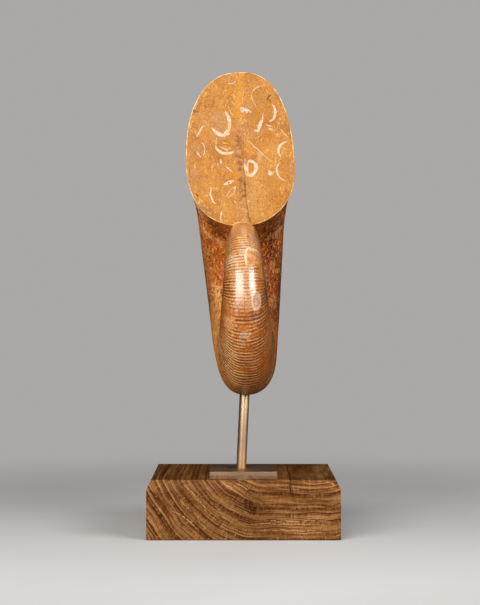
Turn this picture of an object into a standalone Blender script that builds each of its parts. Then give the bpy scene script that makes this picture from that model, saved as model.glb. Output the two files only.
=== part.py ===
"""Polished ammonite on a metal rod, with a square plate and a chamfered oak block.

Metres, +Z up. The origin is the centre of the block's underside. The sawn mouth of the shell
faces -Y, the coil lies in the YZ plane, and the block's end grain faces -Y.
"""

import math

import bmesh
import bpy
from mathutils import Matrix, Vector

# Oak block
BLOCK_WIDTH = 0.150
BLOCK_DEPTH = 0.119
BLOCK_HEIGHT = 0.0457
CHAMFER_IN = 0.0035
CHAMFER_DOWN = 0.0072

# Square metal plate on the block
PLATE_SIDE = 0.0536
PLATE_THICKNESS = 0.0026
PLATE_EDGE_ROUND = 0.0003

# Support rod, which leans a little towards +X and stands in a hole in each neighbour
ROD_DIAMETER = 0.008
ROD_LEAN = math.radians(2.6)
ROD_FOOT_X = -0.0017
ROD_BARE_LENGTH = 0.060
ROD_IN_BLOCK = 0.018
ROD_IN_SHELL = 0.028
ROD_SIDES = 32

# Shell: a logarithmic spiral about an axis along X
MOUTH_RADIUS = 0.1684
WHORL_EXPANSION = 3.61
MOUTH_WIDTH = 0.0878
WIDEST_AT = 0.597
WHORL_OVERLAP = 0.035
OUTER_ROUNDNESS = 2.41
INNER_ROUNDNESS = 2.21
SHELL_LEAN = math.radians(1.7)
COIL_X = 0.0003
COIL_Y = -0.016
COIL_Z = 0.1985
TURNS = 2.75
FIRST_CHAMBER_FLATNESS = 0.35
STEPS_PER_TURN = 52
SECTION_POINTS = 26

# Neighbouring pieces keep this gap, and heights along the rod count from the plate's top
FIT_GAP = 0.0003
PLATE_TOP = BLOCK_HEIGHT + FIT_GAP + PLATE_THICKNESS
BLOCK_TOP_ON_ROD = -(PLATE_THICKNESS + FIT_GAP)
ROD_LOW_END = BLOCK_TOP_ON_ROD - ROD_IN_BLOCK
ROD_HIGH_END = ROD_BARE_LENGTH + ROD_IN_SHELL


def clear_scene():
    for obj in list(bpy.data.objects):
        bpy.data.objects.remove(obj, do_unlink=True)


def new_collection(name):
    collection = bpy.data.collections.new(name)
    bpy.context.scene.collection.children.link(collection)
    return collection


def new_material(name, colour, roughness, metallic=0.0, coat=0.0):
    material = bpy.data.materials.new(name)
    material.use_nodes = True
    shader = material.node_tree.nodes["Principled BSDF"]
    shader.inputs["Base Color"].default_value = (*colour, 1.0)
    shader.inputs["Roughness"].default_value = roughness
    shader.inputs["Metallic"].default_value = metallic
    shader.inputs["Coat Weight"].default_value = coat
    return material


def object_from(bm, name, collection, material=None):
    """Makes the object of a finished bmesh, with its faces turned outwards."""
    bmesh.ops.recalc_face_normals(bm, faces=bm.faces)
    mesh = bpy.data.meshes.new(name)
    bm.to_mesh(mesh)
    bm.free()
    if material:
        mesh.materials.append(material)
    obj = bpy.data.objects.new(name, mesh)
    collection.objects.link(obj)
    return obj


def shade_round(obj, sharp_angle=math.radians(40)):
    obj.data.shade_smooth()
    obj.data.set_sharp_from_angle(angle=sharp_angle)


def cut(obj, cutter):
    boolean = obj.modifiers.new("cut_" + cutter.name, "BOOLEAN")
    boolean.operation = "DIFFERENCE"
    boolean.solver = "EXACT"
    boolean.object = cutter


def rod_placement():
    """The place and lean of the rod, whose own Z axis runs up it from the top of the plate."""
    foot = Vector((ROD_FOOT_X, 0.0, PLATE_TOP))
    return Matrix.Translation(foot) @ Matrix.Rotation(ROD_LEAN, 4, "Y")


def make_cylinder(name, diameter, low, high, collection, material=None):
    """A cylinder about its own Z axis from low to high."""
    bm = bmesh.new()
    bmesh.ops.create_cone(
        bm,
        cap_ends=True,
        segments=ROD_SIDES,
        radius1=diameter / 2,
        radius2=diameter / 2,
        depth=high - low,
        matrix=Matrix.Translation((0.0, 0.0, (low + high) / 2)),
    )
    return object_from(bm, name, collection, material)


def make_rod_hole(name, low, high, cutters):
    """The cutter of a hole that takes the rod with a gap all round."""
    cutter = make_cylinder(name, ROD_DIAMETER + 2 * FIT_GAP, low, high, cutters)
    cutter.matrix_world = rod_placement()
    cutter.hide_render = True
    cutter.display_type = "WIRE"
    return cutter


def make_oak_block(parts, cutters):
    bm = bmesh.new()
    bmesh.ops.create_cube(bm, size=1.0)
    bmesh.ops.scale(bm, vec=(BLOCK_WIDTH, BLOCK_DEPTH, BLOCK_HEIGHT), verts=bm.verts)
    bmesh.ops.translate(bm, vec=(0.0, 0.0, BLOCK_HEIGHT / 2), verts=bm.verts)
    bmesh.ops.bisect_plane(
        bm,
        geom=bm.verts[:] + bm.edges[:] + bm.faces[:],
        plane_co=(0.0, 0.0, BLOCK_HEIGHT - CHAMFER_DOWN),
        plane_no=(0.0, 0.0, 1.0),
    )
    top = [vert for vert in bm.verts if vert.co.z > BLOCK_HEIGHT - CHAMFER_DOWN / 2]
    for vert in top:
        vert.co.x -= math.copysign(CHAMFER_IN, vert.co.x)
        vert.co.y -= math.copysign(CHAMFER_IN, vert.co.y)
    oak = new_material("oak_end_grain", (0.33, 0.19, 0.095), 0.5)
    block = object_from(bm, "oak_block", parts, oak)
    cut(block, make_rod_hole("hole_in_block", ROD_LOW_END - FIT_GAP, 0.0, cutters))


def make_base_plate(parts, cutters):
    bm = bmesh.new()
    bmesh.ops.create_cube(bm, size=1.0)
    bmesh.ops.scale(bm, vec=(PLATE_SIDE, PLATE_SIDE, PLATE_THICKNESS), verts=bm.verts)
    metal = new_material("brushed_metal", (0.62, 0.52, 0.40), 0.32, metallic=1.0)
    plate = object_from(bm, "base_plate", parts, metal)
    plate.location.z = PLATE_TOP - PLATE_THICKNESS / 2
    bevel = plate.modifiers.new("edge_round", "BEVEL")
    bevel.width = PLATE_EDGE_ROUND
    bevel.segments = 2
    cut(plate, make_rod_hole("hole_in_plate", -2 * PLATE_THICKNESS, PLATE_THICKNESS, cutters))


def make_support_rod(parts):
    metal = new_material("satin_rod_metal", (0.66, 0.55, 0.42), 0.28, metallic=1.0)
    rod = make_cylinder("support_rod", ROD_DIAMETER, ROD_LOW_END, ROD_HIGH_END, parts, metal)
    rod.matrix_world = rod_placement()
    shade_round(rod)


def section_half_width(depth):
    """Half the whorl's width as a share of its greatest, at a depth from 0, outside, to 1, inside."""
    if depth < WIDEST_AT:
        away = (WIDEST_AT - depth) / WIDEST_AT
        roundness = OUTER_ROUNDNESS
    else:
        away = (depth - WIDEST_AT) / (1.0 - WIDEST_AT)
        roundness = INNER_ROUNDNESS
    return (1.0 - min(away, 1.0) ** roundness) ** (1.0 / roundness)


def mouth_section():
    """The whorl's outline at the mouth, in the XZ plane, with the coil axis at the origin."""
    inner_radius = MOUTH_RADIUS / WHORL_EXPANSION * (1.0 - WHORL_OVERLAP)
    height = MOUTH_RADIUS - inner_radius
    points = []
    for i in range(SECTION_POINTS):
        turn = 2 * math.pi * i / SECTION_POINTS
        if math.cos(turn) > 0:
            depth = WIDEST_AT * (1.0 - abs(math.cos(turn)) ** (2 / OUTER_ROUNDNESS))
        else:
            depth = WIDEST_AT + (1.0 - WIDEST_AT) * abs(math.cos(turn)) ** (2 / INNER_ROUNDNESS)
        side = math.copysign(MOUTH_WIDTH / 2 * section_half_width(depth), math.sin(turn))
        points.append(Vector((side, 0.0, MOUTH_RADIUS - height * depth)))
    return points


def coil_tube():
    """The whorls as one closed tube: the mouth outline, extruded, turned and shrunk step by step."""
    bm = bmesh.new()
    verts = [bm.verts.new(point) for point in mouth_section()]
    mouth = bm.faces.new(verts)
    edges = list(mouth.edges)
    turn = Matrix.Rotation(-2 * math.pi / STEPS_PER_TURN, 4, "X")
    shrink = Matrix.Scale(WHORL_EXPANSION ** (-1.0 / STEPS_PER_TURN), 4)
    for _ in range(round(TURNS * STEPS_PER_TURN)):
        grown = bmesh.ops.extrude_edge_only(bm, edges=edges)["geom"]
        verts = [item for item in grown if isinstance(item, bmesh.types.BMVert)]
        edges = [item for item in grown if isinstance(item, bmesh.types.BMEdge)]
        bmesh.ops.transform(bm, matrix=shrink @ turn, verts=verts)
    bmesh.ops.contextual_create(bm, geom=edges)
    return bm


def make_ammonite(parts, cutters):
    stone = new_material("polished_fossil", (0.42, 0.19, 0.07), 0.22, coat=0.5)
    shell = object_from(coil_tube(), "ammonite", parts, stone)
    shell.matrix_world = Matrix.Translation((COIL_X, COIL_Y, COIL_Z)) @ Matrix.Rotation(
        -SHELL_LEAN, 4, "Y"
    )

    core_radius = MOUTH_RADIUS / WHORL_EXPANSION**TURNS
    bm = bmesh.new()
    bmesh.ops.create_uvsphere(bm, u_segments=16, v_segments=8, radius=core_radius)
    bmesh.ops.scale(bm, vec=(FIRST_CHAMBER_FLATNESS, 1.0, 1.0), verts=bm.verts)
    core = object_from(bm, "first_chamber", cutters)
    core.matrix_world = shell.matrix_world.copy()
    core.hide_render = True
    core.display_type = "WIRE"
    join = shell.modifiers.new("join_whorls", "BOOLEAN")
    join.operation = "UNION"
    join.solver = "EXACT"
    join.use_self = True
    join.object = core

    hole_start = ROD_BARE_LENGTH / 2
    cut(shell, make_rod_hole("hole_in_shell", hole_start, ROD_HIGH_END + FIT_GAP, cutters))
    shade_round(shell)


def main():
    clear_scene()
    parts = new_collection("ammonite_on_stand")
    cutters = new_collection("cutters")
    make_oak_block(parts, cutters)
    make_base_plate(parts, cutters)
    make_support_rod(parts)
    make_ammonite(parts, cutters)


main()
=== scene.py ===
"""The looks of the polished ammonite on its rod, plate and oak block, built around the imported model."""

import math

import bpy
import numpy as np
from mathutils import Matrix, Vector, noise


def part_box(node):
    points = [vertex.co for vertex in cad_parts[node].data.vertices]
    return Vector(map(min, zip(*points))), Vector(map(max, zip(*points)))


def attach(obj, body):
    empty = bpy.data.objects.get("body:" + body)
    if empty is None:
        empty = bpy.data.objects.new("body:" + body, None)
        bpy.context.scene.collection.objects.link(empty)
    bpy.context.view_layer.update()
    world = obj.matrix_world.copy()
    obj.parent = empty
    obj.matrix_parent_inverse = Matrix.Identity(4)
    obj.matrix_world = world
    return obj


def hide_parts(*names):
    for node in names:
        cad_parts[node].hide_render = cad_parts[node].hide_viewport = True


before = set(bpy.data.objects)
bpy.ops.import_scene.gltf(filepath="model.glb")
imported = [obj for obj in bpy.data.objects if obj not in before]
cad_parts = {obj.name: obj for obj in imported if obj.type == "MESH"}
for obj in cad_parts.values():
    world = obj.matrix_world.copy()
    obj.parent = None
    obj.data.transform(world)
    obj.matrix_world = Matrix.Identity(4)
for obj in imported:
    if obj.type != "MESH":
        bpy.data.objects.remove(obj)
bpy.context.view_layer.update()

MM = 0.001

# Shell: the same logarithmic spiral as the CAD shell, about an axis along X
WHORL_EXPANSION = 3.61
WHORL_OVERLAP = 0.035
WIDEST_AT = 0.597
OUTER_ROUNDNESS = 2.41
INNER_ROUNDNESS = 2.21
MOUTH_PROPORTION = 0.0878 / 0.1684
SHELL_LEAN = math.radians(1.7)
COIL_X = 0.0003
GROWTH = math.log(WHORL_EXPANSION) / math.tau
PITCH = math.atan(GROWTH)

# Ribs
RIB_SPACING = 0.0026
RINGS_PER_RIB = 6
RIB_DEPTH = 0.00026
OUTER_SECTION_POINTS = 66
INNER_SECTION_POINTS = 44
SPLIT_TURN = 1.035
FIRST_CHAMBER_SHARE = 0.02

# Where the ribs stand further apart: degrees back from the mouth, reach and share
WIDE_RIBS = ((240, 14, 0.14), (195, 18, 0.55))

# Sawn mouth
FACE_THICKNESS = 0.003
FACE_PROUD = 0.0007
FACE_BACK_SHARE = 0.985
RIM_ROUND = 0.0004
SHELL_WALL = 0.001
FACE_BORDER = 0.005
FACE_OUTLINE_POINTS = 240
FACE_MIDDLE_HEIGHT = 0.097

# Camera: level, in front of the mouth
CAMERA_DISTANCE = 1.2183
CAMERA_HEIGHT = 0.1869
CAMERA_X = -0.0027
CAMERA_LENS = 89.6
CAMERA_SHIFT = -0.0091

SHELL_LOW, SHELL_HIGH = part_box("ammonite")
ROD_LOW, ROD_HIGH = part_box("support_rod")
PLATE_LOW, PLATE_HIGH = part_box("base_plate")
BLOCK_LOW, BLOCK_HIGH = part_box("oak_block")


def spiral_reach(angle):
    """The spiral's radius at an angle back from the mouth, as a share of the mouth's radius."""
    return math.exp(-GROWTH * angle)


MOUTH_RADIUS = (SHELL_HIGH.y - SHELL_LOW.y) / math.cos(PITCH) / (
    spiral_reach(math.pi / 2 - PITCH) + spiral_reach(1.5 * math.pi - PITCH)
)
COIL_CENTRE = Vector((
    COIL_X,
    SHELL_HIGH.y - MOUTH_RADIUS * math.cos(PITCH) * spiral_reach(math.pi / 2 - PITCH),
    SHELL_LOW.z + MOUTH_RADIUS * math.cos(PITCH) * spiral_reach(math.pi - PITCH),
))
SHELL_PLACE = Matrix.Translation(COIL_CENTRE) @ Matrix.Rotation(-SHELL_LEAN, 4, "Y")
FACE_MIDDLE = SHELL_PLACE @ Vector((0, 0, FACE_MIDDLE_HEIGHT))


# ------ making pieces


def deselect_all():
    bpy.ops.object.select_all(action="DESELECT")


def new_piece(name):
    """Names the object that an operator has just added, and puts its place in its mesh."""
    piece = bpy.context.object
    piece.name = name
    piece.data.name = name
    bpy.ops.object.transform_apply(location=True, rotation=True, scale=True)
    return piece


def pick(piece):
    """Makes a piece the only selected object, and the active one."""
    deselect_all()
    piece.select_set(True)
    bpy.context.view_layer.objects.active = piece


def edit(piece):
    pick(piece)
    bpy.ops.object.mode_set(mode="EDIT")


def end_edit():
    bpy.ops.object.mode_set(mode="OBJECT")


def apply_modifier(piece, name, kind, **settings):
    pick(piece)
    modifier = piece.modifiers.new(name, kind)
    for key, value in settings.items():
        setattr(modifier, key, value)
    bpy.ops.object.modifier_apply(modifier=modifier.name)


def select_faces(piece, wanted):
    """Selects the faces that pass the test, in object mode, so that edit mode starts on them."""
    for part in (*piece.data.vertices, *piece.data.edges):
        part.select = False
    for face in piece.data.polygons:
        face.select = wanted(face)


def make_normals_face_out(piece):
    edit(piece)
    bpy.ops.mesh.select_all(action="SELECT")
    bpy.ops.mesh.normals_make_consistent(inside=False)
    end_edit()


def smooth(piece, degrees):
    """Shades a piece smooth, apart from edges sharper than this."""
    pick(piece)
    bpy.ops.object.shade_smooth_by_angle(angle=math.radians(degrees))


def add_box(name, low, high):
    deselect_all()
    bpy.ops.mesh.primitive_cube_add(size=1, location=(low + high) / 2, scale=high - low)
    return new_piece(name)


def finish_piece(piece, slot, *nodes):
    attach(piece, "root")
    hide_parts(*nodes)


# ------ making materials

RIGHT = (1, 0, 0)
BACK = (0, 1, 0)
UP = (0, 0, 1)


class Flow:
    """A value, place or colour on its way between nodes. A sum with flows in it adds Math nodes."""

    def __init__(self, socket):
        self.socket = socket
        self.tree = socket.id_data

    def feed(self, socket):
        self.tree.links.new(self.socket, socket)

    def maths(self, operation, *others):
        kind = "ShaderNodeMath" if self.socket.type == "VALUE" else "ShaderNodeVectorMath"
        return add(self.tree, kind, dict(enumerate((self, *others))), operation=operation)

    def dot(self, way):
        """How far a place lies along a way. A dot product needs no conversion between kinds of
        socket, so that many slices in one material still fit in the shader's memory."""
        inputs = {0: self, 1: way}
        return add(self.tree, "ShaderNodeVectorMath", inputs, "Value", operation="DOT_PRODUCT")

    def length(self):
        return add(self.tree, "ShaderNodeVectorMath", {0: self}, "Value", operation="LENGTH")

    def lay(self, cover, strength, paint, blend_type="MIX"):
        """Lays paint over this colour where the cover shows, as strongly as strength says."""
        self.socket = mix(cover * strength, self, paint, blend_type).socket

    def __abs__(self):
        return self.maths("ABSOLUTE")

    def __add__(self, other):
        return self.maths("ADD", other)

    def __sub__(self, other):
        return self.maths("SUBTRACT", other)

    def __rsub__(self, other):
        return add(self.tree, "ShaderNodeMath", {0: other, 1: self}, operation="SUBTRACT")

    def __mul__(self, other):
        return self.maths("MULTIPLY", other)

    def __truediv__(self, other):
        return self.maths("DIVIDE", other)


def add(tree, kind, inputs=None, output=0, **settings):
    """Adds a node and gives one of its outputs. Each input is a plain value or a flow."""
    node = tree.nodes.new(kind)
    for name, value in settings.items():
        setattr(node, name, value)
    for key, value in (inputs or {}).items():
        if isinstance(value, Flow):
            value.feed(node.inputs[key])
        else:
            node.inputs[key].default_value = value
    return Flow(node.outputs[output])


def highest(first, *others):
    for other in others:
        first = first.maths("MAXIMUM", other)
    return first


def mix(share, first, second, blend_type="MIX"):
    """Mixes two colours; the share says how much of the second shows."""
    first, second = (paint if isinstance(paint, Flow) else (*paint, 1) for paint in (first, second))
    inputs = {0: share, 6: first, 7: second}
    return add(share.tree, "ShaderNodeMix", inputs, 2, data_type="RGBA", blend_type=blend_type)


def fade(value, low, high, from_value=0, to_value=1):
    """A soft step from from_value to to_value as the value goes from low to high."""
    inputs = {0: value, 1: low, 2: high, 3: from_value, 4: to_value}
    kind = "ShaderNodeMapRange"
    return add(value.tree, kind, inputs, interpolation_type="SMOOTHSTEP", clamp=False)


def noise_value(place, scale, detail=4, roughness=0.55, distortion=0):
    inputs = {
        "Vector": place,
        "Scale": scale,
        "Detail": detail,
        "Roughness": roughness,
        "Distortion": distortion,
    }
    return add(place.tree, "ShaderNodeTexNoise", inputs)


def shiver(place, scale, detail, size, roughness=0.5):
    """A small noisy shift of a place, in its X and Z."""
    inputs = {"Vector": place, "Scale": scale, "Detail": detail, "Roughness": roughness}
    shift = add(place.tree, "ShaderNodeTexNoise", inputs, "Color") - (0.5, 0.5, 0.5)
    return shift * (size, 0, size)


def stretched(place, scale, rotation=(0, 0, 0)):
    inputs = {"Vector": place, "Scale": scale, "Rotation": rotation}
    return add(place.tree, "ShaderNodeMapping", inputs)


def moved(place, shift):
    """Places moved well away, so that a second noise on them is its own."""
    return place + (shift, 1.3 * shift, 0.7 * shift)


def combined(x, y=0, z=0):
    return add(x.tree, "ShaderNodeCombineXYZ", {0: x, 1: y, 2: z})


def ramp(value, stops):
    """A colour ramp from (position, colour) stops."""
    flow = add(value.tree, "ShaderNodeValToRGB", {0: value})
    elements = flow.socket.node.color_ramp.elements
    while len(elements) < len(stops):
        elements.new(0.5)
    for element, (position, colour) in zip(elements, stops):
        element.position = position
        element.color = (*colour, 1)
    return flow


def attribute(tree, name, output):
    return add(tree, "ShaderNodeAttribute", output=output, attribute_name=name)


def bumped(height, distance, strength):
    inputs = {"Height": height, "Distance": distance, "Strength": strength}
    return add(height.tree, "ShaderNodeBump", inputs)


def new_material(name):
    """A material, its Principled shader's inputs, its tree and its Object coordinates."""
    material = bpy.data.materials.new(name)
    material.use_nodes = True
    tree = material.node_tree
    place = add(tree, "ShaderNodeTexCoord", output="Object")
    return material, tree, tree.nodes["Principled BSDF"].inputs, place


def new_group(name, **inputs):
    """A shader node group that gives a cover. Each input has a starting value, or None for a place."""
    tree = bpy.data.node_groups.new(name, "ShaderNodeTree")
    for label, value in inputs.items():
        kind = "NodeSocketVector" if value is None else "NodeSocketFloat"
        socket = tree.interface.new_socket(label, in_out="INPUT", socket_type=kind)
        if value is not None:
            socket.default_value = value
    tree.interface.new_socket("cover", in_out="OUTPUT", socket_type="NodeSocketFloat")
    inlet = tree.nodes.new("NodeGroupInput").outputs
    outlet = tree.nodes.new("NodeGroupOutput").inputs["cover"]
    return tree, [Flow(inlet[label]) for label in inputs], outlet


def use_group(group, **inputs):
    return add(inputs["place"].tree, "ShaderNodeGroup", inputs, node_tree=group)


def make_slice_group():
    """How much of a point one shell fragment covers: an arc that is thickest at its middle."""
    tree, inlets, outlet = new_group(
        "shell_slice",
        place=None,
        centre=None,
        radius=0.01,
        middle_angle=0,
        half_sweep=1,
        half_thickness=0.001,
        softness=0.0003,
    )
    place, centre, radius, middle_angle, half_sweep, half_thickness, softness = inlets
    arm = place - centre
    angle = arm.dot(UP).maths("ARCTAN2", arm.dot(RIGHT))
    share = (angle - middle_angle).maths("WRAP", math.pi, -math.pi) / half_sweep
    taper = highest(1 - share * share, 0).maths("SQRT")
    inside = taper * half_thickness - abs(arm.length() - radius)
    fade(inside / softness, 0, 1.2).feed(outlet)
    return tree


def make_mottle_group():
    """Cloudy patches: noise with its contrast set by two levels."""
    starts = {"place": None, "scale": 50, "detail": 5, "low": 0.4, "high": 0.6}
    tree, inlets, outlet = new_group("mottle", **starts)
    place, scale, detail, low, high = inlets
    fade(noise_value(place, scale, detail, 0.6, 0.4), low, high).feed(outlet)
    return tree


SLICE = make_slice_group()
MOTTLE = make_mottle_group()


def mottle(place, scale, low, high, detail=5, shift=0):
    """Cloudy patches on a place, which a shift makes different from others of the same scale."""
    if shift:
        place = moved(place, shift)
    return use_group(MOTTLE, place=place, scale=scale, detail=detail, low=low, high=high)


# ------ the sawn mouth's stone

# Shell fragments in the stone: the X and Z of the start and of the end, bulge to the right of the
# way from start to end, and thickness, in millimetres from the middle of the face
FRAGMENTS = (
    (-12.5, 40, -9.8, 22.4, -2.6, 3.2),
    (-8.8, 27.4, -15, 20.2, -1.5, 2.9),
    (-8, 22.4, -22, 26.2, -3.4, 3.3),
    (-20, 12.8, -4.2, 8.8, 4.8, 2.6),
    (-18.2, 19.4, -18.8, 12.4, 0.8, 1),
    (-16.6, 12.6, -7.4, 11.2, 2.4, 1),
    (-3.2, 64.8, -10.6, 62.2, -1.9, 1),
    (16.2, 59, 8.8, 53.6, 1.3, 1),
    (9.4, 54.6, 14.6, 42.2, 1.9, 0.8),
    (0.4, 42.6, 9, 38.5, -0.3, 2.2),
    (1.4, 40.6, 6.2, 38.2, 0, 2.4),
    (0.2, 43.6, 1.6, 38.4, 0, 1.3),
    (24.8, 45.8, 23.4, 31, -4, 2.3),
    (18.9, 39.2, 15.4, 25, -0.3, 1.4),
    (17.3, 33.6, 13.7, 22.8, -0.2, 3.2),
    (15.8, 24.6, 10.6, 25, -0.4, 1.6),
    (20.8, 29, 25.8, 27.6, 0.4, 1.3),
    (22.2, 26.8, 27.6, 25, 0.5, 1.1),
    (-28.8, 28.8, -34.8, 18.4, 0.5, 1.5),
    (-31.4, 15.2, -28.6, 8.8, -1, 1.1),
    (-28.8, 9.4, -30, 4.2, -0.9, 1),
    (-35, 7.8, -31, 2.6, 0.2, 1.4),
    (22.4, -7.4, 25.2, -11.8, 0, 3.2),
    (39, 14.8, 33.6, 2.6, 5.6, 2),
    (31.8, 26, 39.2, 18.2, 0.4, 1.2),
    (3.4, 19.6, 28.8, -3.8, 0.5, 1),
    (32.4, -0.4, 36.8, -15.8, 5.2, 1.7),
    (-15.8, 1.4, -15.2, -2.6, 0, 2),
    (-18.6, -1, -17, -5.2, 0, 0.9),
    (-12.6, -2.8, -5.6, -9.2, 0.3, 1.5),
    (-13.4, -19, -5, -15.4, 0.2, 2.8),
    (-10.8, -29.6, -3.2, -20, 1.9, 0.9),
    (-10.8, -29.6, -3.2, -20, -1.5, 0.8),
    (-5.4, -23, -3.2, -19.8, 0, 1.6),
    (-22.6, -21.4, -18.6, -34.8, 2.8, 1.6),
    (-13.2, -38.6, -15.4, -48.6, 1.2, 1.5),
    (6, -31.4, 7.8, -32.6, 0, 1.6),
    (4.8, -12, 11.9, -12.1, 0.1, 1.3),
    (8.4, 0.5, 8.2, -11.2, -4.4, 3.2),
    (7, -0.4, 7.2, -10.6, 1.7, 1.9),
    (3.9, 1.6, 4.9, -12.2, 0.5, 1.6),
    (5.8, -0.8, 11.8, -1.4, -0.9, 2.9),
    (4.9, -10.3, 11.8, -9.8, 1.1, 2.7),
)
FAINT_FRAGMENTS = (
    (4.4, 57, 3, 45, 2, 0.8),
    (-25.4, 55.4, -29.8, 49.8, 0.5, 0.8),
    (-10.8, 52, -9.6, 45, 0.4, 1),
    (-9.8, 45.6, -4.6, 34.6, 0.8, 0.9),
    (-21.6, 62, -16.6, 56.6, 0.2, 0.6),
    (-37.4, 33, -40.2, 24.4, 0.4, 0.9),
    (-14.6, 15.6, -9.4, 13.8, 0.6, 1.1),
    (21.6, 24.6, 26.6, 23.8, -0.4, 0.9),
    (-4.8, -32, -3.4, -33, 0, 1.2),
    (17.8, -35, 19, -35.6, 0, 1),
    (-8.4, -52.8, 12, -53, -3.6, 1.9),
)
DARK_FRAGMENTS = (
    (4.2, 9, 4.4, -12.6, -0.4, 0.7),
    (4, -11, 5, -33.6, 0.5, 1.3),
    (4.8, -32.4, 9.8, -53, 0.6, 1.6),
    (25.4, 53.6, 20.6, 47.4, 0.4, 1.7),
    (22.4, 50.4, 24.4, 46.2, 0, 1.5),
    (-38.8, 40.6, -32.6, 38.8, 0, 2),
    (-40.2, 32.4, -41.4, 24, 0.2, 0.9),
    (-35.6, -25.6, -33, -29, 0, 1.8),
    (-9.8, -17.8, -8, -17.2, 0, 1.7),
    (2.9, 39.6, 5.2, 38.4, 0, 1.5),
    (-25.6, 62.8, -21, 65.4, 0, 1),
    (-40.6, -4, -39.8, -14, 0, 0.8),
)
STAINS = (
    (-37, -31, -20, -45, 1, 9),
    (36, -16, 35, -30, -1.5, 3.2),
    (-40, 44, -33, 36, 1, 6),
    (26, 58, 34, 44, -1, 7),
    (-5, -29, -6, -36, 0.5, 4.5),
)
YELLOW_STREAKS = (
    (2.5, 90, -1.5, 22, 1, 11),
    (-5, 2, -2.5, -24, -0.5, 6),
    (6.5, 22, 8.5, 4, 0.5, 7),
)
SWIRL = (
    (14, 60, 21, 42, 2, 11),
)
PINK_PLACES = (
    (34, 20, 10, -50, 4, 30),
    (-14, -24, -8, -50, 1, 18),
)
SMUDGES = (
    (16.2, 9, 15, -1.4, 0, 4.8),
)
BAND_EDGES = (
    (-3.3, 25, -4, 15, 0.2, 1.2),
    (-0.6, 20, 3.2, 13.4, 0.4, 1.3),
    (3.2, 13.6, 3.8, 3, 0.2, 1),
)
BAND = (
    (-2.8, 27, -1.4, 11, 0, 5),
    (-2, 21.4, -0.4, -1, -0.2, 9.4),
    (-0.6, 10, 1.2, -12, 0, 8.2),
    (0.8, -2, 2, -22, 0, 6.4),
    (1.2, -6, 2, -36.5, -0.7, 6.6),
    (-0.4, -31, 5, -31.4, 0, 4.6),
    (2.2, 40.4, 8.6, 37.4, 0.3, 2.6),
)
# A straight fragment is an arc with a bulge this small, and each is drawn this much thicker, as its
# soft edge takes some off: both in millimetres
LEAST_BULGE = 0.01
SOFT_EDGE = 0.35
# Drops the depth of a place, so that a mark goes straight through the stone or the oak
FLAT = (1, 0, 1)


def slice_inputs(start_x, start_z, end_x, end_z, bulge, thickness):
    """The arc through two points that stands out by bulge from the straight line between them."""
    first = Vector((start_x, start_z)) * MM
    last = Vector((end_x, end_z)) * MM
    rise = (bulge if abs(bulge) > LEAST_BULGE else LEAST_BULGE) * MM
    chord = last - first
    half = chord.length / 2
    radius = (half * half + rise * rise) / (2 * abs(rise))
    outward = Vector((chord.y, -chord.x)).normalized() * math.copysign(1, rise)
    centre = (first + last) / 2 + outward * (abs(rise) - radius)
    return {
        "centre": (centre.x, 0, centre.y),
        "radius": radius,
        "middle_angle": math.atan2(outward.y, outward.x),
        "half_sweep": math.atan2(half, radius - abs(rise)),
        "half_thickness": (thickness + SOFT_EDGE) * MM / 2,
    }


def all_slices(place, fragments, softness):
    """The cover of all the fragments together."""
    slices = [slice_inputs(*fragment) for fragment in fragments]
    return highest(*(use_group(SLICE, place=place, softness=softness, **inputs) for inputs in slices))


def face_place(place, wobble):
    """Places on the sawn face, from its middle, with the depth dropped and the edges made uneven."""
    flat = (place - tuple(FACE_MIDDLE)) * FLAT
    return flat + shiver(place, 260, 4, wobble, 0.7)


def face_marks(place, wobble, marks, softness):
    return all_slices(face_place(place, wobble), marks, softness)


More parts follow.
